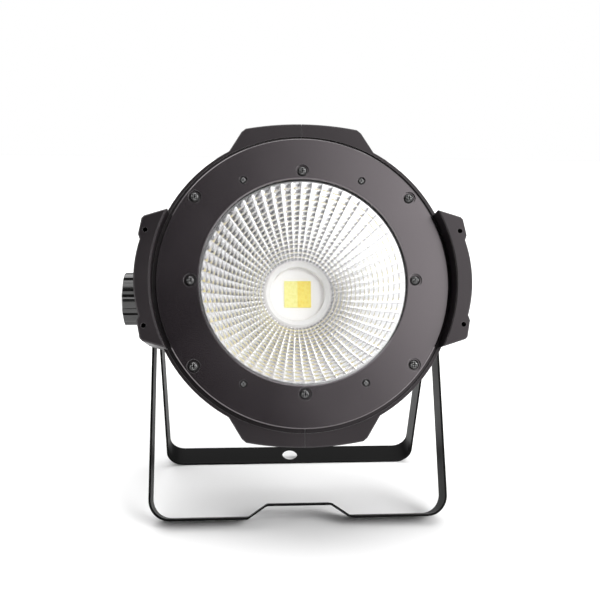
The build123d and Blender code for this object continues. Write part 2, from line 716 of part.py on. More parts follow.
def emitter(side):
    """One half of the emitting square, left (-1) or right (+1)."""
    width = EMITTER_SIDE / 2
    return slab(width, EMITTER_SIDE, BOARD_FRONT - EMITTER_THICKNESS, BOARD_FRONT, x=side * width / 2)


def carrier_plate():
    """Steel plate that hangs on the standoffs and carries the heatsink."""
    window = BOARD_SIDE + CARRIER_WINDOW_MARGIN
    plate = disc(CARRIER_RADIUS, CARRIER_FRONT, SINK_FRONT)
    plate = plate - slab(window, window, CARRIER_FRONT - 1, SINK_FRONT + 1)
    for x, z in corners(STANDOFF_X, STANDOFF_X):
        plate = plate - disc(M3_RADIUS + FIT_GAP / 2, CARRIER_FRONT - 1, SINK_FRONT + 1, x, z)
    return plate


def heatsink():
    """Extruded sink: a round base with straight upright fins behind it."""
    body = disc(SINK_RADIUS, SINK_FRONT, SINK_FRONT + SINK_BASE)
    count = int((SINK_RADIUS - FIN_THICKNESS) // FIN_PITCH)
    for index in range(-count, count + 1):
        x = index * FIN_PITCH
        height = 2 * sqrt(SINK_RADIUS**2 - (abs(x) + FIN_THICKNESS / 2)**2)
        body = body + slab(FIN_THICKNESS, height, SINK_FRONT + SINK_BASE, FIN_BACK, x=x)
    return body


def fan_frame():
    """Square fan housing with a round duct, a motor cup and four struts at its front."""
    body = slab(FAN_SIDE, FAN_SIDE, FAN_FRONT, FAN_BACK) - disc(FAN_BORE, FAN_FRONT - 1, FAN_BACK + 1)
    strut_back = FAN_FRONT + FAN_STRUT
    spider = disc(FAN_HUB_RADIUS, FAN_FRONT, strut_back)
    for angle in (45, 135):
        spider = spider + Rot(Y=angle) * slab(2 * FAN_BORE + 2, FAN_STRUT_WIDTH, FAN_FRONT, strut_back)
    body = body + spider
    body = body + disc(FAN_SHAFT_RADIUS + FAN_BEARING_WALL, FAN_FRONT, FAN_FRONT + FAN_BEARING)
    body = body - disc(FAN_SHAFT_RADIUS + RUNNING_GAP, FAN_FRONT - 1, FAN_BACK + 1)
    for x, z in corners(FAN_HOLE_PITCH / 2, FAN_HOLE_PITCH / 2):
        body = body - disc(M4_RADIUS + FIT_GAP / 2, FAN_FRONT - 1, FAN_BACK + 1, x, z)
    return body


def fan_rotor():
    """Hub cup on its shaft with pitched blades."""
    front = FAN_FRONT + ROTOR_FRONT_GAP
    back = FAN_BACK - ROTOR_BACK_GAP
    cup = disc(FAN_HUB_RADIUS, front, back) - disc(FAN_HUB_RADIUS - CUP_WALL, front - 1, back - CUP_FLOOR)
    shaft = disc(FAN_SHAFT_RADIUS, FAN_FRONT + 1, back)
    rotor = cup + shaft
    middle = (front + back) / 2 - PIVOT_DEPTH
    span = FAN_BLADE_RADIUS - FAN_HUB_RADIUS + 2
    chord = (back - front) * BLADE_CHORD
    for index in range(FAN_BLADES):
        blade = Box(chord, BLADE_THICKNESS, span)
        pitched = Pos(0, middle, FAN_HUB_RADIUS - 1 + span / 2) * Rot(Z=BLADE_PITCH) * blade
        rotor = rotor + Rot(Y=360 * index / FAN_BLADES) * pitched
    tips = disc(FAN_BLADE_RADIUS, front, back)
    return rotor & tips


def power_supply():
    """Sealed driver box in the lower part of the housing."""
    front = SINK_FRONT + SUPPLY_FRONT_GAP
    case = slab(SUPPLY_WIDTH, SUPPLY_HEIGHT, front, COVER_FRONT - SUPPLY_BACK_GAP, z=SUPPLY_Z)
    return fillet(case.edges().filter_by(Axis.Y), 2)


def control_board():
    """Circuit board behind the display and the buttons."""
    back = COVER_FRONT - BOARD_GAP
    return slab(BOARD_WIDTH, BOARD_HEIGHT, back - BOARD_THICKNESS, back, z=BOARD_Z)


# --- rear panel ---
def data_places():
    """The two data sockets, to the left of the middle."""
    return [(-SOCKET_OUTER[0], SOCKET_OUTER[1]), (-SOCKET_INNER[0], SOCKET_INNER[1])]


def mains_places():
    """The two mains sockets, to the right of the middle."""
    return [SOCKET_INNER, SOCKET_OUTER]


def button_places():
    """Four buttons in a row under the display."""
    return [((index - 1.5) * BUTTON_PITCH, BUTTON_Z) for index in range(4)]


def rear_cover():
    """Round plate with the fan opening, the display window and every socket's cut-out."""
    plate = disc(COVER_RADIUS, COVER_FRONT, COVER_BACK)
    plate = chamfer(plate.edges().filter_by(GeomType.CIRCLE).group_by(Axis.Y)[-1], BEZEL_CHAMFER)
    plate = plate - disc(FAN_BORE, COVER_FRONT - 1, COVER_BACK + 1)
    plate = plate - slab(DISPLAY_WIDTH, DISPLAY_HEIGHT, COVER_FRONT - 1, COVER_BACK + 1, z=DISPLAY_Z)
    for x, z in button_places():
        plate = plate - disc(BUTTON_RADIUS + MOVING_GAP, COVER_FRONT - 1, COVER_BACK + 1, x, z)
    for x, z in data_places():
        plate = plate - disc(DATA_BODY + FIT_GAP, COVER_FRONT - 1, COVER_BACK + 1, x, z)
    for x, z in mains_places():
        width = MAINS_WIDTH + 2 * MAINS_WALL
        height = MAINS_HEIGHT + 2 * MAINS_WALL
        plate = plate - slab(width, height, COVER_FRONT - 1, COVER_BACK + 1, x, z)
    plate = plate - disc(FUSE_RADIUS, COVER_FRONT - 1, COVER_BACK + 1, 0, FUSE_Z)
    for x, z in corners(FAN_HOLE_PITCH / 2, FAN_HOLE_PITCH / 2):
        plate = plate - disc(M4_RADIUS + FIT_GAP / 2, COVER_FRONT - 1, COVER_BACK + 1, x, z)
    for x, z in cover_screw_places():
        plate = plate - disc(M3_RADIUS + FIT_GAP / 2, COVER_FRONT - 1, COVER_BACK + 1, x, z)
    return plate


def fan_guard():
    """Wire finger guard: rings on four arms that reach the fan's screws."""
    arm_depth = COVER_BACK + GUARD_ARM
    ring_middle = arm_depth + GUARD_LIFT * (GUARD_ARM + GUARD_WIRE) - PIVOT_DEPTH
    eye_reach = FAN_HOLE_PITCH / 2 * sqrt(2)
    guard = disc(FAN_HUB_RADIUS / 2, COVER_BACK, COVER_BACK + GUARD_PLATE)
    for angle in (45, 135, 225, 315):
        arm = Rot(Y=angle) * rod(GUARD_ARM, FAN_HUB_RADIUS / 4, eye_reach - M3_HEAD_RADIUS, arm_depth)
        eye = ring(M4_RADIUS + FIT_GAP / 2, GUARD_EYE, COVER_BACK, COVER_BACK + GUARD_PLATE)
        guard = guard + arm + Rot(Y=angle) * Pos(eye_reach, 0, 0) * eye
    for index in range(GUARD_RINGS):
        radius = FAN_BORE - 2 - index * GUARD_RING_PITCH
        guard = guard + Pos(0, ring_middle, 0) * Rot(X=90) * Torus(radius, GUARD_WIRE)
    return guard


def display_window():
    """Tinted pane set flush in the rear cover."""
    return slab(DISPLAY_WIDTH, DISPLAY_HEIGHT, COVER_FRONT, COVER_BACK - WINDOW_SINK, z=DISPLAY_Z)


def display_module():
    """Numeric display on the control board, just inside the window."""
    return slab(DISPLAY_WIDTH - 6, DISPLAY_HEIGHT - 4, COVER_FRONT - BOARD_GAP, COVER_FRONT - 1, z=DISPLAY_Z)


def menu_button(x, z):
    """Round button with a wider foot inside that stops it falling out."""
    foot_back = COVER_FRONT - MOVING_GAP
    foot_front = foot_back - BUTTON_FOOT
    cap = disc(BUTTON_RADIUS, COVER_FRONT - BUTTON_FOOT, COVER_BACK + BUTTON_PROUD, x, z)
    cap = fillet(cap.edges().group_by(Axis.Y)[-1], BUTTON_ROUND)
    foot = disc(BUTTON_RADIUS + BUTTON_FOOT_MARGIN, foot_front, foot_back, x, z)
    stem = disc(BUTTON_STEM_RADIUS, COVER_FRONT - BUTTON_STEM, foot_back, x, z)
    return cap + foot + stem


def button_switches():
    """Tact switches on the control board, one behind each button."""
    front = COVER_FRONT - BOARD_GAP
    back = COVER_FRONT - BUTTON_STEM - BUTTON_TRAVEL - MOVING_GAP
    return solids_of(*[slab(SWITCH_SIDE, SWITCH_SIDE, front, back, x, z) for x, z in button_places()])


def data_flange(x, z):
    """Upright face plate of a data socket, with rounded corners."""
    plate = slab(*DATA_FLANGE, COVER_BACK, SOCKET_BACK, x, z)
    return fillet(plate.edges().filter_by(Axis.Y), 3)


def data_inlet(x, z):
    """Male data socket: an open cup with a floor."""
    front = SOCKET_BACK - DATA_DEPTH
    cup = data_flange(x, z) + disc(DATA_BODY, front - SOCKET_FLOOR, COVER_BACK, x, z)
    return cup - disc(DATA_BORE, front, SOCKET_BACK + 1, x, z)


def data_contact_places(x, z):
    """Three places round a data socket's middle."""
    angles = [radians(angle) for angle in DATA_PIN_ANGLES]
    return [(x + DATA_PIN_CIRCLE * cos(a), z + DATA_PIN_CIRCLE * sin(a)) for a in angles]


def data_pins(x, z):
    """Three contact pins standing on the floor of the cup."""
    front = SOCKET_BACK - DATA_DEPTH
    back = SOCKET_BACK - DATA_DEPTH / 2
    return solids_of(*[disc(DATA_PIN_RADIUS, front, back, *place) for place in data_contact_places(x, z)])


def data_outlet(x, z):
    """Female data socket: a grooved face with three contact holes and a latch slot above."""
    front = SOCKET_BACK - DATA_DEPTH
    body = data_flange(x, z) + disc(DATA_BODY, front - SOCKET_FLOOR, COVER_BACK, x, z)
    body = body - ring(DATA_CORE, DATA_BORE, front, SOCKET_BACK + 1, x, z)
    for place in data_contact_places(x, z):
        body = body - disc(DATA_PIN_RADIUS + RUNNING_GAP, front, SOCKET_BACK + 1, *place)
    slot_width = LATCH_WIDTH + 2 * MOVING_GAP
    slot_height = LATCH_HEIGHT + 2 * MOVING_GAP
    slot_front = SOCKET_BACK - LATCH_SLOT
    return body - slab(slot_width, slot_height, slot_front, SOCKET_BACK + 1, x, z + LATCH_Z)


def data_latch(x, z):
    """Push tab that frees the plug."""
    front = SOCKET_BACK - LATCH_SLOT + MOVING_GAP + LATCH_TRAVEL
    return slab(LATCH_WIDTH, LATCH_HEIGHT, front, SOCKET_BACK + LATCH_PROUD, x, z + LATCH_Z)


def mains_block(x, z):
    """Flange and body of a mains socket."""
    plate = slab(*MAINS_FLANGE, COVER_BACK, SOCKET_BACK, x, z)
    plate = fillet(plate.edges().filter_by(Axis.Y), 2)
    width = MAINS_WIDTH + 2 * MAINS_WALL - FIT_GAP
    height = MAINS_HEIGHT + 2 * MAINS_WALL - FIT_GAP
    return plate + slab(width, height, SOCKET_BACK - MAINS_DEPTH - SOCKET_FLOOR, COVER_BACK, x, z)


def mains_mouth(x, z, front, shrink=0.0):
    """Inner space of a mains socket: a rectangle with its two upper corners cut off."""
    wide = MAINS_WIDTH / 2 - shrink
    tall = MAINS_HEIGHT / 2 - shrink
    cut = MAINS_CORNER
    outline = Polyline((-wide, -tall), (wide, -tall), (wide, tall - cut), (wide - cut, tall),
                       (cut - wide, tall), (-wide, tall - cut), close=True)
    return Pos(x, 0, z) * extruded(make_face(outline), front, SOCKET_BACK + 1)


def power_inlet(x, z):
    """Male mains inlet: an open mouth with a floor."""
    return mains_block(x, z) - mains_mouth(x, z, SOCKET_BACK - MAINS_DEPTH)


def power_blades(x, z):
    """Three flat contacts in the inlet's mouth."""
    floor = SOCKET_BACK - MAINS_DEPTH
    tip = floor + BLADE_LENGTH
    return solids_of(*[slab(*BLADE_SIZE, floor, tip, x + dx, z + dz) for dx, dz in BLADE_PLACES])


def power_outlet(x, z):
    """Female mains outlet: a plug-shaped core inside a groove, with three slots."""
    floor = SOCKET_BACK - MAINS_DEPTH
    groove = mains_mouth(x, z, floor) - mains_mouth(x, z, floor - 2, MAINS_GROOVE)
    body = mains_block(x, z) - groove
    for dx, dz in BLADE_PLACES:
        body = body - slab(*BLADE_SLOT_SIZE, floor, SOCKET_BACK + 1, x + dx, z + dz)
    return body


def fuse_holder():
    """Round holder with a slotted cap."""
    cap_back = COVER_BACK + FUSE_CAP
    body = disc(FUSE_RADIUS - FIT_GAP / 2, COVER_FRONT - FUSE_BODY, COVER_BACK, 0, FUSE_Z)
    cap = disc(FUSE_RADIUS + 1.5, COVER_BACK, cap_back, 0, FUSE_Z)
    cap = chamfer(cap.edges().group_by(Axis.Y)[-1], 1)
    return body + cap - slab(*FUSE_SLOT, cap_back - 2, cap_back + 1, 0, FUSE_Z)


def safety_eye():
    """Bent steel tab with a hole for a safety cable."""
    base = slab(EYE_BASE_WIDTH, EYE_HEIGHT, COVER_BACK, COVER_BACK + EYE_THICKNESS, 0, EYE_Z)
    tab = slab(EYE_THICKNESS, EYE_HEIGHT, COVER_BACK, COVER_BACK + EYE_REACH, 0, EYE_Z)
    tab = fillet(tab.edges().filter_by(Axis.X).group_by(Axis.Y)[-1], EYE_ROUND)
    hole_depth = COVER_BACK + EYE_REACH - EYE_HEIGHT / 2
    return base + tab - rod(EYE_HOLE_RADIUS, -5, 5, hole_depth, EYE_Z)


# --- yokes, drawn hanging straight down ---
def leg_end(side, half_width):
    """Rounded upper end of a leg, centred on the tilt axis."""
    outer = side * half_width
    return rod(STRIP_WIDTH / 2, outer, outer - side * STRIP_THICKNESS)


def bar_outline(half_width, length, bend, inset, notch):
    """Half of a yoke's outline from the pivot to the middle of the bar, offset inwards."""
    x = half_width - inset
    z = inset - length
    points = [(x, 0), (x, z)]
    radii = [bend - inset]
    if notch:
        slope = atan2(NOTCH_RAISE, NOTCH_FOOT - NOTCH_TOP)
        shift = inset * (1 - cos(slope)) / sin(slope)
        points.append((NOTCH_FOOT - shift, z))
        points.append((NOTCH_TOP - shift, z + NOTCH_RAISE))
        radii.append(NOTCH_BEND + inset)
        radii.append(NOTCH_BEND + STRIP_THICKNESS - inset)
        z = z + NOTCH_RAISE
    points.append((0, z))
    return FilletPolyline(*points, radius=radii)


def strip_yoke(half_width, length, bend, notch):
    """A U bent from flat strip, one half drawn and mirrored."""
    outer = bar_outline(half_width, length, bend, 0.0, notch)
    inner = bar_outline(half_width, length, bend, STRIP_THICKNESS, notch)
    cap_top = Line(outer @ 0, inner @ 0)
    cap_middle = Line(outer @ 1, inner @ 1)
    section = make_face(outer + inner + cap_top + cap_middle)
    half = extrude(Plane.XZ * section, amount=STRIP_WIDTH / 2, both=True)
    yoke = half + mirror(half, about=Plane.YZ)
    for side in (-1, 1):
        yoke = yoke + leg_end(side, half_width)
    for side in (-1, 1):
        hole_radius = STUD_RADIUS + RUNNING_GAP
        yoke = yoke - rod(hole_radius, side * (half_width - STRIP_THICKNESS - 1), side * (half_width + 1))
    return yoke


def front_yoke():
    """Outer yoke; the raised middle keeps a clamp's bolt head off the floor."""
    yoke = strip_yoke(FRONT_HALF_WIDTH, FRONT_LENGTH, FRONT_BEND, True)
    hole = Pos(0, 0, NOTCH_RAISE - FRONT_LENGTH) * Cylinder(CLAMP_HOLE_RADIUS, 4 * STRIP_THICKNESS)
    return Rot(X=-FRONT_SWING) * (yoke - hole)


def rear_yoke():
    """Inner yoke with a plain bar and a large hanging hole."""
    yoke = strip_yoke(REAR_HALF_WIDTH, REAR_LENGTH, REAR_BEND, False)
    hole = Pos(0, 0, -REAR_LENGTH) * Cylinder(HANGING_HOLE_RADIUS, 4 * STRIP_THICKNESS)
    return Rot(X=REAR_SWING) * (yoke - hole)


# --- pivots and knobs ---
def pivot_insert(side):
    """Brass bush moulded into the housing's boss."""
    return tube(STUD_RADIUS + RUNNING_GAP, INSERT_RADIUS, side * (BOSS_FACE - BOSS_LENGTH), side * BOSS_FACE)


def head_washer(side):
    """Friction washer on the boss, against the rear yoke."""
    return tube(STUD_RADIUS + FIT_GAP, BOSS_RADIUS - 2, side * BOSS_FACE, side * (BOSS_FACE + HEAD_WASHER))


def yoke_spacer(side):
    """Thin washer between the two yokes."""
    face = FRONT_HALF_WIDTH - STRIP_THICKNESS
    return tube(STUD_RADIUS + FIT_GAP, WASHER_RADIUS - 1, side * (face - SPACER_WASHER), side * face)


def knob_washer(side):
    """Plain washer under the knob."""
    start = KNOB_WASHER_FACE
    return tube(STUD_RADIUS + FIT_GAP, WASHER_RADIUS, side * start, side * (start + KNOB_WASHER))


def pivot_stud(side):
    """Threaded stud moulded into the knob, its pitch drawn as a plain shaft."""
    return rod(STUD_RADIUS, side * (BOSS_FACE - BOSS_LENGTH + 2), side * (KNOB_FACE + KNOB_HUB))


def knob(side):
    """Lobed grip with a hub and a shallow domed end."""
    grip_start = KNOB_FACE + KNOB_HUB
    grip_end = grip_start + KNOB_GRIP
    grip = rod(KNOB_RADIUS, grip_start, grip_end)
    grip = chamfer(grip.edges().group_by(Axis.X)[0], KNOB_CHAMFER)
    body = rod(KNOB_HUB_RADIUS, KNOB_FACE, grip_start) + grip + dome_cap(grip_end)
    for index in range(KNOB_LOBES):
        angle = 360 * (index + 0.5) / KNOB_LOBES
        reach = KNOB_RADIUS + KNOB_SCALLOP - KNOB_GROOVE
        cut = rod(KNOB_SCALLOP, grip_start - 1, grip_end + KNOB_DOME + 1, z=reach)
        body = body - Rot(X=angle) * cut
    body = body - rod(STUD_RADIUS, KNOB_FACE - 1, KNOB_FACE + KNOB_HUB)
    if side < 0:
        body = mirror(body, about=Plane.YZ)
    return body


def dome_cap(start):
    """Shallow spherical cap that closes the grip."""
    sphere_radius = (KNOB_RADIUS**2 + KNOB_DOME**2) / (2 * KNOB_DOME)
    ball = Pos(start + KNOB_DOME - sphere_radius, 0, 0) * Sphere(sphere_radius)
    return ball & rod(KNOB_RADIUS, start - 0.01, start + KNOB_DOME + 1)


def head_nodes():
    """Every piece that tilts with the head, in the level head's own frame."""
    left_shell, right_shell = housing()
    big = (M4_RADIUS, M4_HEAD_RADIUS, M4_HEAD_HEIGHT, COUNTERBORE_DEPTH)
    small = (M3_RADIUS, M3_HEAD_RADIUS, M3_HEAD_HEIGHT, COUNTERBORE_DEPTH)
    front_length = CLAMP_BACK - COUNTERBORE_DEPTH - 1
    axis_screw = pan_screw(*big, front_length)
    small_screw = pan_screw(*small, front_length)
    corner_screw = pan_screw(*big, CORNER_SCREW_LENGTH)
    data_in, data_out = data_places()
    mains_in, mains_out = mains_places()
    standoff = ring(M3_RADIUS, STANDOFF_RADIUS, CLAMP_BACK, CARRIER_FRONT)
    nodes = {
        "left_housing": left_shell,
        "right_housing": right_shell,
        "front_bezel": front_bezel(),
        "bezel_gasket": bezel_gasket(),
        "glass_gasket": ring(OPENING_RADIUS, GLASS_RADIUS, BEZEL_LIP, GLASS_FRONT),
        "front_glass": disc(GLASS_RADIUS, GLASS_FRONT, FLANGE_FRONT),
        "reflector": reflector(),
        "clamp_ring": clamp_ring(),
        "axis_screws": screw_set(axis_screw, axis_places(AXIS_SCREW_RADIUS)),
        "corner_screws": screw_set(corner_screw, corners(CORNER_SCREW_X, CORNER_SCREW_Z)),
        "small_screws": screw_set(small_screw, corners(SMALL_SCREW_X, SMALL_SCREW_Z)),
        "led_collar": led_collar(),
        "led_board": slab(BOARD_SIDE, BOARD_SIDE, BOARD_FRONT, PAD_FRONT),
        "cool_emitter": emitter(-1),
        "warm_emitter": emitter(1),
        "thermal_pad": slab(BOARD_SIDE, BOARD_SIDE, PAD_FRONT, SINK_FRONT),
        "carrier_plate": carrier_plate(),
        "standoffs": solids_of(*[Pos(x, 0, z) * standoff for x, z in corners(STANDOFF_X, STANDOFF_X)]),
        "heatsink": heatsink(),
        "fan_frame": fan_frame(),
        "fan_guard": fan_guard(),
        "power_supply": power_supply(),
        "control_board": control_board(),
        "display_module": display_module(),
        "display_window": display_window(),
        "button_switches": button_switches(),
        "rear_cover": rear_cover(),
        "data_inlet": data_inlet(*data_in),
        "data_inlet_pins": data_pins(*data_in),
        "data_outlet": data_outlet(*data_out),
        "power_inlet": power_inlet(*mains_in),
        "power_inlet_blades": power_blades(*mains_in),
        "power_outlet": power_outlet(*mains_out),
        "fuse_holder": fuse_holder(),
        "safety_eye": safety_eye(),
        "cover_screws": cover_screws(),
        "fan_screws": fan_screws(),
        "shell_screws": shell_screws(),
        "pivot_inserts": solids_of(pivot_insert(-1), pivot_insert(1)),
        "friction_washers": solids_of(head_washer(-1), head_washer(1)),
        "fan_rotor": fan_rotor(),
        "data_latch": data_latch(*data_out),
    }
    for name, place in zip(("menu", "down", "up", "enter"), button_places()):
        nodes[name + "_button"] = menu_button(*place)
    for name, side in (("left", -1), ("right", 1)):
        nodes[name + "_knob"] = knob(side)
        nodes[name + "_stud"] = pivot_stud(side)
        nodes[name + "_knob_washer"] = knob_washer(side)
    return nodes


def placed(nodes, place):
    """Every node moved by the same place."""
    return {name: place * shape for name, shape in nodes.items()}


def footprint_middle(nodes):
    """Middle of the whole lamp's box, front to back."""
    boxes = [shape.bounding_box() for shape in nodes.values()]
    return (min(box.min.Y for box in boxes) + max(box.max.Y for box in boxes)) / 2


def build():
    """All nodes in their final places, and the tilt axis's place in that frame."""
    yokes = {
        "front_yoke": front_yoke(),
        "rear_yoke": rear_yoke(),
        "yoke_spacers": solids_of(yoke_spacer(-1), yoke_spacer(1)),
    }
    nodes = placed(head_nodes(), Rot(X=-HEAD_TILT))
    nodes.update(yokes)
    middle = footprint_middle(nodes)
    return placed(nodes, Pos(0, -middle, PIVOT_HEIGHT)), (0.0, -middle, PIVOT_HEIGHT)


def main():
    """Write one STEP file for each node."""
    os.makedirs("parts", exist_ok=True)
    nodes, pivot = build()
    for name, shape in nodes.items():
        export_step(shape, os.path.join("parts", name + ".step"))
    print("tilt axis", [round(value, 3) for value in pivot])
    print("swings", round(FRONT_SWING, 3), round(REAR_SWING, 3))


if __name__ == "__main__":
    main()
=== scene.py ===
"""LED par can light: the finishes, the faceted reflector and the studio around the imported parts.

Metres. Lamp coordinates are x, depth behind the bezel's front face, and z, with the lamp level.
"""

import json
import math

import bpy
from mathutils import Matrix, Vector


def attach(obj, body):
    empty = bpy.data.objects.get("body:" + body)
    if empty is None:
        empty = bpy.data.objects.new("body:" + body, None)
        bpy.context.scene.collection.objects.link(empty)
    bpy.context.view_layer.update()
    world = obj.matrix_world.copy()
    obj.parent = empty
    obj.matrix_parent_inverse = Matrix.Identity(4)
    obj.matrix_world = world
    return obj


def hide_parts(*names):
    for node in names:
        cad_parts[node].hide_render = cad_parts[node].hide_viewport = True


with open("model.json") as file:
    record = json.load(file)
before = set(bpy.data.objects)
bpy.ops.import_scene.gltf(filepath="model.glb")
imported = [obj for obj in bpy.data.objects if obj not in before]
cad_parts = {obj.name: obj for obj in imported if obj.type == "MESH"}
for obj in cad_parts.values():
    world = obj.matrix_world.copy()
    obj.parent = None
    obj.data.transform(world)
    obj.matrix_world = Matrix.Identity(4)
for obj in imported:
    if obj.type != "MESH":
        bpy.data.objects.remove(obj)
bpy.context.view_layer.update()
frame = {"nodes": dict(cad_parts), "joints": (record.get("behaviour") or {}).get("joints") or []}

MM = 0.001

# --- where the head sits ---
HEAD_TILT = math.radians(18.5)
PIVOT_DEPTH = 110 * MM
PIVOT = Vector(next(j["pos_m"] for j in frame["joints"] if j["name"] == "head_tilt"))
HEAD = (
    Matrix.Translation(PIVOT)
    @ Matrix.Rotation(-HEAD_TILT, 4, "X")
    @ Matrix.Translation((0, -PIVOT_DEPTH, 0))
)

# --- reflector ---
REFLECTOR_FRONT = 6 * MM
REFLECTOR_BACK = 78 * MM
FRONT_RADIUS = 84.6 * MM
BASE_RADIUS = 30.2 * MM
BOWL_BULGE = 0.40
WALL = 1.6 * MM
FLANGE = 1.5 * MM
FLANGE_RADIUS = 90.4 * MM
SECTORS = 60
FACET_RINGS = 16
CROWN_STEPS = ((0.22, 0.055), (0.18, 0.022))  # shares of a facet's width: step inwards, rise
CREASE_ANGLE = math.radians(13)
DEPTH_SAMPLES = 400
WELD = 0.01 * MM

# --- camera ---
CAMERA_PLACE = (-48.73 * MM, -737.84 * MM, 330.29 * MM)
CAMERA_PITCH = -0.1836
CAMERA_YAW = 0.0702
CAMERA_ROLL = -0.0113
CAMERA_LENS = 48.15
SENSOR_WIDTH = 36.0

# --- studio ---
FLOOR_WIDTH = 60.0
BRIGHT_SIDE = Vector((0.62, -0.60, 0.50)).normalized()
DARK_SIDE = Vector((-0.42, -0.85, 0.32)).normalized()
BRIGHT_EDGES = (0.76, 0.94)     # cosines from a side's middle: where it starts, where it is full
DARK_EDGES = (0.58, 0.84)
SURROUND_LEVEL = 0.64
BRIGHT_LIFT = 1.9
DARK_DROP = -0.63
KEY_DIRECTION = Vector((0.70, -0.72, 0.62)).normalized()
KEY_ANGLE = 30                  # degrees across
KEY_STRENGTH = 1.2
TOP_DIRECTION = Vector((-0.1, 0.25, 1.0)).normalized()
TOP_ANGLE = 80
TOP_STRENGTH = 2.4


# ------------------------------------------------------------------ modelling helpers


def deselect_all():
    bpy.ops.object.select_all(action="DESELECT")


def start_piece(name):
    """Names the primitive just added and opens it for editing."""
    piece = bpy.context.object
    piece.name = name
    piece.data.name = name
    bpy.context.tool_settings.mesh_select_mode = (True, False, False)
    bpy.ops.object.mode_set(mode="EDIT")
    return piece


def end_piece(piece, place):
    """Closes editing and puts the piece's place into its mesh."""
    bpy.ops.object.mode_set(mode="OBJECT")
    piece.data.transform(piece.matrix_world)
    piece.matrix_world = Matrix.Identity(4)
    piece.data.transform(place)
    piece.select_set(False)
    return piece


def edit_faces(piece, wanted):
    """Opens the piece with only the faces that pass the test selected."""
    bpy.context.view_layer.objects.active = piece
    bpy.context.tool_settings.mesh_select_mode = (False, False, True)
    for part in (*piece.data.vertices, *piece.data.edges):
        part.select = False
    for face in piece.data.polygons:
        face.select = wanted(face)
    bpy.ops.object.mode_set(mode="EDIT")


def pull_ring(radius, depth, last_radius, last_depth):
    """Extrudes the selected ring to a new radius and depth."""
    bpy.ops.mesh.extrude_region_move(TRANSFORM_OT_translate={"value": (0, depth - last_depth, 0)})
    growth = radius / last_radius
    bpy.ops.transform.resize(value=(growth, 1, growth), center_override=(0, depth, 0))


# ------------------------------------------------------------------ shared effects


def effect(name, inputs, outputs):
    """An empty shader group with the named value inputs and outputs."""
    group = bpy.data.node_groups.new(name, "ShaderNodeTree")
    for label, value in inputs.items():
        socket = group.interface.new_socket(name=label, in_out="INPUT", socket_type="NodeSocketFloat")
        socket.default_value = value
    for label in outputs:
        group.interface.new_socket(name=label, in_out="OUTPUT", socket_type="NodeSocketFloat")
    return group, group.nodes.new("NodeGroupInput"), group.nodes.new("NodeGroupOutput")


def maths(tree, operation, first, second):
    """A Math node; either side is a socket or a number."""
    node = tree.nodes.new("ShaderNodeMath")
    node.operation = operation
    for socket, value in zip(node.inputs, (first, second)):
        if isinstance(value, bpy.types.NodeSocket):
            tree.links.new(value, socket)
        else:
            socket.default_value = value
    return node.outputs[0]


def noise(tree, scale, detail, stretch=None):
    """Noise in the piece's own coordinates."""
    place = tree.nodes.new("ShaderNodeTexCoord").outputs["Object"]
    if stretch is not None:
        mapping = tree.nodes.new("ShaderNodeMapping")
        mapping.inputs["Scale"].default_value = stretch
        tree.links.new(place, mapping.inputs["Vector"])
        place = mapping.outputs["Vector"]
    node = tree.nodes.new("ShaderNodeTexNoise")
    node.inputs["Detail"].default_value = detail
    tree.links.new(place, node.inputs["Vector"])
    if isinstance(scale, bpy.types.NodeSocket):
        tree.links.new(scale, node.inputs["Scale"])
    else:
        node.inputs["Scale"].default_value = scale
    return node.outputs["Fac"]


def coating_grain():
    """Fine orange-peel grain of a sprayed or moulded skin, with a slow change of tone."""
    group, given, result = effect("coating grain", {"Grain": 900.0, "Patch": 14.0}, ("Height", "Tone"))
    group.links.new(noise(group, given.outputs["Grain"], 3.0), result.inputs["Height"])
    group.links.new(noise(group, given.outputs["Patch"], 2.0), result.inputs["Tone"])
    return group


def painted_edge_highlight():
    """Painted highlight along edges: the share by which the surface turns within a short reach, broken up by
    noise.
    """
    group, given, result = effect("painted edge highlight", {"Reach": 0.0007, "Strength": 1.0}, ("Mask",))
    rounded = group.nodes.new("ShaderNodeBevel")
    rounded.samples = 4
    group.links.new(given.outputs["Reach"], rounded.inputs["Radius"])
    flat = group.nodes.new("ShaderNodeNewGeometry")
    turn = group.nodes.new("ShaderNodeVectorMath")
    turn.operation = "DOT_PRODUCT"
    group.links.new(rounded.outputs["Normal"], turn.inputs[0])
    group.links.new(flat.outputs["Normal"], turn.inputs[1])
    bend = maths(group, "SUBTRACT", 1.0, turn.outputs["Value"])
    patchy = maths(group, "MULTIPLY", bend, maths(group, "ADD", 0.4, noise(group, 120.0, 2.0)))
    shown = maths(group, "MULTIPLY", patchy, given.outputs["Strength"])
    clamp = group.nodes.new("ShaderNodeClamp")
    group.links.new(shown, clamp.inputs["Value"])
    group.links.new(clamp.outputs["Result"], result.inputs["Mask"])
    return group


def drawn_lines():
    """Long fine lines left by drawing, turning or brushing metal."""
    group, given, result = effect("drawn lines", {"Fineness": 260.0}, ("Height", "Tone"))
    group.links.new(noise(group, given.outputs["Fineness"], 4.0, (0.06, 1.0, 1.0)), result.inputs["Height"])
    group.links.new(noise(group, 22.0, 2.0), result.inputs["Tone"])
    return group


GRAIN = coating_grain()
# painted highlight along edges, mixed into the finishes' colour by skin
EDGES = painted_edge_highlight()
LINES = drawn_lines()


# ------------------------------------------------------------------ finishes


def place_group(tree, group, values):
    node = tree.nodes.new("ShaderNodeGroup")
    node.node_tree = group
    for label, value in values.items():
        node.inputs[label].default_value = value
    return node


def spread_value(tree, source, low, high):
    """A value that runs from low to high as source goes from 0.3 to 0.7."""
    node = tree.nodes.new("ShaderNodeMapRange")
    node.inputs["From Min"].default_value = 0.3
    node.inputs["From Max"].default_value = 0.7
    node.inputs["To Min"].default_value = low
    node.inputs["To Max"].default_value = high
    tree.links.new(source, node.inputs["Value"])
    return node.outputs["Result"]


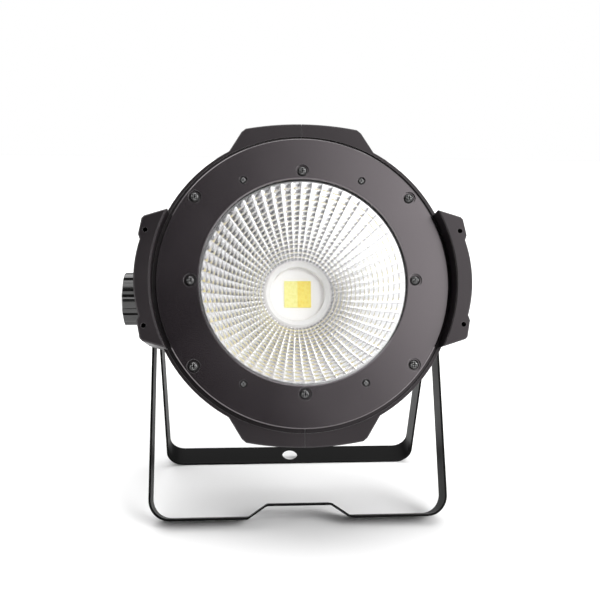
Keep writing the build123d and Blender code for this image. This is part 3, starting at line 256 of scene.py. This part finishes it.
def mix_colours(tree, share, first, second):
    node = tree.nodes.new("ShaderNodeMix")
    node.data_type = "RGBA"
    tree.links.new(share, node.inputs["Factor"])
    for label, value in (("A", first), ("B", second)):
        socket = next(s for s in node.inputs if s.name == label and s.type == "RGBA")
        if isinstance(value, bpy.types.NodeSocket):
            tree.links.new(value, socket)
        else:
            socket.default_value = (*value, 1)
    return next(s for s in node.outputs if s.type == "RGBA")


def new_finish(name):
    material = bpy.data.materials.new(name)
    material.use_nodes = True
    return material, material.node_tree, material.node_tree.nodes["Principled BSDF"]


def skin(name, dark, light, rough, texture, bump, edge_highlight=None, metallic=0.0, coat=0.0, shine=0.5,
         ior=1.5, sheen_tint=(1.0, 1.0, 1.0)):
    """A finish with a slow change of tone, a fine texture and, where given, a painted highlight along its
    edges.

    rough is the (low, high) roughness, texture the group with its values, bump the
    (strength, distance) of its height, and the seventh argument the (colour, strength) of a painted
    highlight along its edges.
    """
    material, tree, shader = new_finish(name)
    group, values = texture
    grain = place_group(tree, group, values)
    colour = mix_colours(tree, spread_value(tree, grain.outputs["Tone"], 0, 1), dark, light)
    # painted highlight: edges turned towards a pale colour
    if edge_highlight is not None:
        edge = place_group(tree, EDGES, {"Strength": edge_highlight[1]})
        colour = mix_colours(tree, edge.outputs["Mask"], colour, edge_highlight[0])
    tree.links.new(colour, shader.inputs["Base Color"])
    tree.links.new(spread_value(tree, grain.outputs["Tone"], *rough), shader.inputs["Roughness"])
    relief = tree.nodes.new("ShaderNodeBump")
    relief.inputs["Strength"].default_value = bump[0]
    relief.inputs["Distance"].default_value = bump[1]
    tree.links.new(grain.outputs["Height"], relief.inputs["Height"])
    tree.links.new(relief.outputs["Normal"], shader.inputs["Normal"])
    shader.inputs["Metallic"].default_value = metallic
    shader.inputs["Coat Weight"].default_value = coat
    shader.inputs["Specular IOR Level"].default_value = shine
    shader.inputs["IOR"].default_value = ior
    shader.inputs["Specular Tint"].default_value = (*sheen_tint, 1)
    return material


def grey(value, warmth=0.0):
    return (value * (1 + warmth), value, value * (1 - warmth / 2))


def clear_glass():
    """Flat clear glass with a faint smear in its gloss, which lets lamps through."""
    material, tree, shader = new_finish("clear toughened glass")
    grain = place_group(tree, GRAIN, {"Grain": 60.0, "Patch": 9.0})
    shader.inputs["Transmission Weight"].default_value = 1.0
    shader.inputs["IOR"].default_value = 1.45
    shader.inputs["Base Color"].default_value = (0.97, 0.985, 0.98, 1)
    tree.links.new(spread_value(tree, grain.outputs["Tone"], 0.0, 0.02), shader.inputs["Roughness"])
    let_through = tree.nodes.new("ShaderNodeBsdfTransparent")
    path = tree.nodes.new("ShaderNodeLightPath")
    both = tree.nodes.new("ShaderNodeMixShader")
    tree.links.new(path.outputs["Is Shadow Ray"], both.inputs["Fac"])
    tree.links.new(shader.outputs["BSDF"], both.inputs[1])
    tree.links.new(let_through.outputs["BSDF"], both.inputs[2])
    tree.links.new(both.outputs["Shader"], tree.nodes["Material Output"].inputs["Surface"])
    return material


def phosphor(name, pale, deep):
    """Silicone filled with phosphor over rows of chips: a soft cellular change of colour."""
    material, tree, shader = new_finish(name)
    cells = tree.nodes.new("ShaderNodeTexVoronoi")
    cells.inputs["Scale"].default_value = 420.0
    tree.links.new(tree.nodes.new("ShaderNodeTexCoord").outputs["Object"], cells.inputs["Vector"])
    colour = mix_colours(tree, spread_value(tree, cells.outputs["Distance"], 0, 1), deep, pale)
    tree.links.new(colour, shader.inputs["Base Color"])
    relief = tree.nodes.new("ShaderNodeBump")
    relief.inputs["Strength"].default_value = 0.3
    relief.inputs["Distance"].default_value = 0.0002
    tree.links.new(cells.outputs["Distance"], relief.inputs["Height"])
    tree.links.new(relief.outputs["Normal"], shader.inputs["Normal"])
    shader.inputs["Roughness"].default_value = 0.35
    return material


PLUM = (1.0, 0.91, 0.95)    # tint of the sheen on the painted head
FINE = (GRAIN, {"Grain": 1400.0, "Patch": 11.0})
COARSE = (GRAIN, {"Grain": 700.0, "Patch": 16.0})
BRUSHED = (LINES, {"Fineness": 420.0})

# The tuple after each bump, where there is one, is a painted highlight along the edges: its colour and
# strength.
FINISHES = {
    "housing_black": skin(
        "satin black powder coat", (0.006, 0.0048, 0.0056), (0.009, 0.0074, 0.0084), (0.36, 0.44), COARSE,
        (0.2, 0.0001), (grey(0.22), 1.2), shine=0.45, sheen_tint=PLUM),
    "bezel_black": skin(
        "satin black bezel", (0.0055, 0.0040, 0.0052), (0.0075, 0.0056, 0.0070), (0.20, 0.26), FINE,
        (0.06, 0.00005), (grey(0.30), 0.9), shine=0.9, ior=1.72, sheen_tint=PLUM),
    "cover_black": skin(
        "satin black rear panel", grey(0.015), grey(0.023, 0.05), (0.42, 0.52), COARSE,
        (0.25, 0.0001), (grey(0.15), 0.7)),
    "yoke_black": skin(
        "satin black yoke", grey(0.0024), grey(0.0040), (0.42, 0.50), FINE,
        (0.15, 0.0001), (grey(0.08), 1.0), shine=0.05),
    # painted highlight: pale edges that light up the crosses in the dark screw heads
    "black_screws": skin(
        "blackened screws", grey(0.006), grey(0.010), (0.16, 0.22), FINE,
        (0.1, 0.00005), (grey(0.80), 1.6), metallic=0.1, shine=0.6),
    "black_wire": skin(
        "black dipped wire", grey(0.014), grey(0.022), (0.28, 0.36), FINE,
        (0.15, 0.0001)),
    "black_rubber": skin(
        "black rubber", grey(0.012), grey(0.02), (0.7, 0.8), COARSE, (0.3, 0.0001)),
    "washer_black": skin(
        "black fibre washer", grey(0.02), grey(0.032), (0.6, 0.75), COARSE, (0.4, 0.0001)),
    "knob_black": skin(
        "glossy moulded knob", grey(0.007), grey(0.011), (0.12, 0.18), FINE,
        (0.06, 0.00005), (grey(0.10), 0.8), shine=0.8),
    "button_grey": skin(
        "dark grey keys", grey(0.05), grey(0.07), (0.45, 0.55), FINE, (0.2, 0.0001)),
    "socket_black": skin(
        "moulded socket black", grey(0.012), grey(0.02), (0.35, 0.46), FINE,
        (0.15, 0.0001), (grey(0.08), 0.6)),
    "fan_black": skin(
        "fan black", grey(0.013), grey(0.022), (0.4, 0.5), FINE, (0.15, 0.0001)),
    "display_black": skin(
        "display case black", grey(0.01), grey(0.016), (0.5, 0.6), FINE, (0.15, 0.0001)),
    "smoked_window": skin(
        "smoked window", (0.012, 0.004, 0.004), (0.018, 0.006, 0.006), (0.06, 0.10), FINE,
        (0.02, 0.00005), coat=1.0),
    "white_plastic": skin(
        "white lamp holder", grey(0.68, 0.03), grey(0.74, 0.03), (0.35, 0.45), FINE, (0.1, 0.0001)),
    "white_ceramic": skin(
        "white ceramic board", grey(0.80, 0.03), grey(0.86, 0.03), (0.45, 0.55), FINE, (0.1, 0.0001)),
    "grey_pad": skin(
        "grey thermal pad", grey(0.20), grey(0.26), (0.75, 0.85), COARSE, (0.3, 0.0001)),
    "circuit_board": skin(
        "green solder mask", (0.006, 0.055, 0.02), (0.012, 0.085, 0.032), (0.25, 0.35), FINE,
        (0.15, 0.0001)),
    "bright_aluminium": skin(
        "bright spun aluminium", (0.90, 0.885, 0.90), (0.94, 0.925, 0.935), (0.13, 0.18), FINE,
        (0.03, 0.00005), metallic=1.0),
    "raw_aluminium": skin(
        "raw extruded aluminium", grey(0.60), grey(0.70), (0.30, 0.42), BRUSHED,
        (0.2, 0.0001), metallic=1.0),
    "zinc_steel": skin(
        "zinc plated steel", grey(0.50, 0.02), grey(0.62, -0.02), (0.28, 0.40), BRUSHED,
        (0.15, 0.0001), metallic=1.0),
    "driver_case": skin(
        "driver case", grey(0.48), grey(0.58), (0.32, 0.44), BRUSHED, (0.15, 0.0001), metallic=1.0),
    "latch_metal": skin(
        "pressed latch steel", grey(0.55), grey(0.66), (0.25, 0.34), BRUSHED, (0.15, 0.0001), metallic=1.0),
    "contact_metal": skin(
        "tinned contacts", (0.66, 0.60, 0.44), (0.78, 0.72, 0.54), (0.18, 0.28), FINE,
        (0.05, 0.00005), metallic=1.0),
    "insert_brass": skin(
        "turned brass", (0.52, 0.38, 0.14), (0.66, 0.50, 0.22), (0.22, 0.32), BRUSHED,
        (0.15, 0.0001), metallic=1.0),
    "cool_phosphor": phosphor("pale phosphor", (0.88, 0.82, 0.33), (0.84, 0.78, 0.27)),
    "warm_phosphor": phosphor("deep phosphor", (0.90, 0.74, 0.15), (0.88, 0.68, 0.11)),
    "clear_glass": clear_glass(),
}


def dress_nodes():
    """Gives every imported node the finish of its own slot."""
    for node in frame["nodes"].values():
        for place, material in enumerate(node.data.materials):
            node.data.materials[place] = FINISHES[material.name]


# ------------------------------------------------------------------ reflector


def bowl_radius(depth):
    share = (depth - REFLECTOR_FRONT) / (REFLECTOR_BACK - REFLECTOR_FRONT)
    drop = FRONT_RADIUS - BASE_RADIUS
    return FRONT_RADIUS - drop * share + BOWL_BULGE * share * (1 - share) * drop


def bowl_depths():
    """Depths of the facet rings' edges, evenly spaced in radius."""
    span = REFLECTOR_BACK - REFLECTOR_FRONT
    depths = [REFLECTOR_FRONT + span * i / DEPTH_SAMPLES for i in range(DEPTH_SAMPLES + 1)]
    wanted = [FRONT_RADIUS - (FRONT_RADIUS - BASE_RADIUS) * i / FACET_RINGS for i in range(FACET_RINGS + 1)]
    return [min(depths, key=lambda depth: abs(bowl_radius(depth) - radius)) for radius in wanted]


def crown_facets(bowl, front, back):
    """Raises a low crown on each facet of the ring between two depths."""
    middle = (front + back) / 2
    half = (back - front) / 4

    def in_ring(face):
        reach = math.hypot(face.center.x, face.center.z)
        return reach < bowl_radius(face.center.y) + WALL / 3 and abs(face.center.y - middle) < half

    around = 2 * math.pi * bowl_radius(middle) / SECTORS
    along = math.hypot(back - front, bowl_radius(front) - bowl_radius(back))
    width = min(around, along)
    edit_faces(bowl, in_ring)
    for step, rise in CROWN_STEPS:
        bpy.ops.mesh.inset(
            thickness=step * width, depth=rise * width, use_individual=True, use_relative_offset=False)
    bpy.ops.object.mode_set(mode="OBJECT")


def reflector():
    """Spun bowl whose inner wall is pressed into crowned facets, with its front flange."""
    depths = bowl_depths()
    inner = [(bowl_radius(depth), depth) for depth in depths]
    back = REFLECTOR_FRONT + FLANGE
    outer = [(radius + WALL, depth) for radius, depth in reversed(inner[::4]) if depth > back]
    profile = [*inner, *outer, (FRONT_RADIUS + WALL, back), (FLANGE_RADIUS, back),
               (FLANGE_RADIUS, REFLECTOR_FRONT), inner[0]]
    deselect_all()
    bpy.ops.mesh.primitive_circle_add(
        vertices=SECTORS, radius=inner[0][0], location=(0, inner[0][1], 0), rotation=(math.pi / 2, 0, 0))
    bowl = start_piece("reflector_bowl")
    bpy.ops.mesh.select_all(action="SELECT")
    for (last_radius, last_depth), (radius, depth) in zip(profile, profile[1:]):
        pull_ring(radius, depth, last_radius, last_depth)
    bpy.ops.mesh.select_all(action="SELECT")
    bpy.ops.mesh.remove_doubles(threshold=WELD)
    bpy.ops.mesh.normals_make_consistent(inside=False)
    end_piece(bowl, Matrix.Identity(4))

    for front, back in zip(depths, depths[1:]):
        crown_facets(bowl, front, back)
    end_piece(bowl, HEAD)
    bowl.select_set(True)
    bpy.ops.object.shade_smooth_by_angle(angle=CREASE_ANGLE)
    bowl.select_set(False)
    bowl.data.materials.append(FINISHES["bright_aluminium"])
    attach(bowl, "head")
    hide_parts("reflector")
    return bowl


# ------------------------------------------------------------------ studio


def studio_floor():
    """Pale paper floor, wide enough to run out of sight."""
    deselect_all()
    bpy.ops.mesh.primitive_plane_add(size=FLOOR_WIDTH, location=(0, 0, 0))
    floor = start_piece("studio_floor")
    bpy.ops.mesh.subdivide(number_cuts=8)
    end_piece(floor, Matrix.Identity(4))
    material, tree, shader = new_finish("pale paper floor")
    colour = mix_colours(tree, noise(tree, 1.5, 2.0), grey(0.92), grey(0.95))
    tree.links.new(colour, shader.inputs["Base Color"])
    shader.inputs["Roughness"].default_value = 0.9
    shader.inputs["Specular IOR Level"].default_value = 0.1
    floor.data.materials.append(material)


def sunlight(name, direction, angle, strength):
    """An even light from one side; a wide angle softens its shadows."""
    light = bpy.data.lights.new(name, "SUN")
    light.angle = math.radians(angle)
    light.energy = strength
    lamp = bpy.data.objects.new(name, light)
    bpy.context.scene.collection.objects.link(lamp)
    lamp.matrix_world = (-direction).to_track_quat("-Z", "Y").to_matrix().to_4x4()


def facing(tree, direction, start, full):
    """0 to 1 as a ray into the surround comes within full of a direction (both as cosines)."""
    ray = tree.nodes.new("ShaderNodeTexCoord").outputs["Generated"]
    turn = tree.nodes.new("ShaderNodeVectorMath")
    turn.operation = "DOT_PRODUCT"
    tree.links.new(ray, turn.inputs[0])
    turn.inputs[1].default_value = direction
    ramp = tree.nodes.new("ShaderNodeMapRange")
    ramp.interpolation_type = "SMOOTHSTEP"
    ramp.inputs["From Min"].default_value = start
    ramp.inputs["From Max"].default_value = full
    tree.links.new(turn.outputs["Value"], ramp.inputs["Value"])
    return ramp.outputs["Result"]


def studio_light():
    sunlight("key_light", KEY_DIRECTION, KEY_ANGLE, KEY_STRENGTH)
    sunlight("top_light", TOP_DIRECTION, TOP_ANGLE, TOP_STRENGTH)
    world = bpy.data.worlds.new("studio surround")
    bpy.context.scene.world = world
    world.use_nodes = True
    tree = world.node_tree
    background = tree.nodes["Background"]
    background.inputs["Color"].default_value = (1.0, 1.0, 1.0, 1)
    lifted = maths(tree, "MULTIPLY", facing(tree, BRIGHT_SIDE, *BRIGHT_EDGES), BRIGHT_LIFT)
    sunk = maths(tree, "MULTIPLY", facing(tree, DARK_SIDE, *DARK_EDGES), DARK_DROP)
    level = maths(tree, "ADD", maths(tree, "ADD", lifted, sunk), SURROUND_LEVEL)
    seen = tree.nodes.new("ShaderNodeLightPath").outputs["Is Camera Ray"]
    tree.links.new(maths(tree, "MAXIMUM", level, seen), background.inputs["Strength"])


def camera():
    """Camera at its fitted place and aim, level but for a small roll."""
    forward = Vector((
        math.cos(CAMERA_PITCH) * math.sin(CAMERA_YAW),
        math.cos(CAMERA_PITCH) * math.cos(CAMERA_YAW),
        math.sin(CAMERA_PITCH)))
    level_right = Vector((math.cos(CAMERA_YAW), -math.sin(CAMERA_YAW), 0))
    level_up = level_right.cross(forward)
    right = math.cos(CAMERA_ROLL) * level_right - math.sin(CAMERA_ROLL) * level_up
    up = math.sin(CAMERA_ROLL) * level_right + math.cos(CAMERA_ROLL) * level_up
    data = bpy.data.cameras.new("camera")
    data.lens = CAMERA_LENS
    data.sensor_width = SENSOR_WIDTH
    data.clip_start = 0.01
    data.clip_end = 50
    eye = bpy.data.objects.new("camera", data)
    bpy.context.scene.collection.objects.link(eye)
    eye.matrix_world = Matrix.Translation(CAMERA_PLACE) @ Matrix((right, up, -forward)).transposed().to_4x4()
    bpy.context.scene.camera = eye


bpy.context.scene.view_settings.view_transform = "Standard"
dress_nodes()
reflector()
studio_floor()
studio_light()
camera()
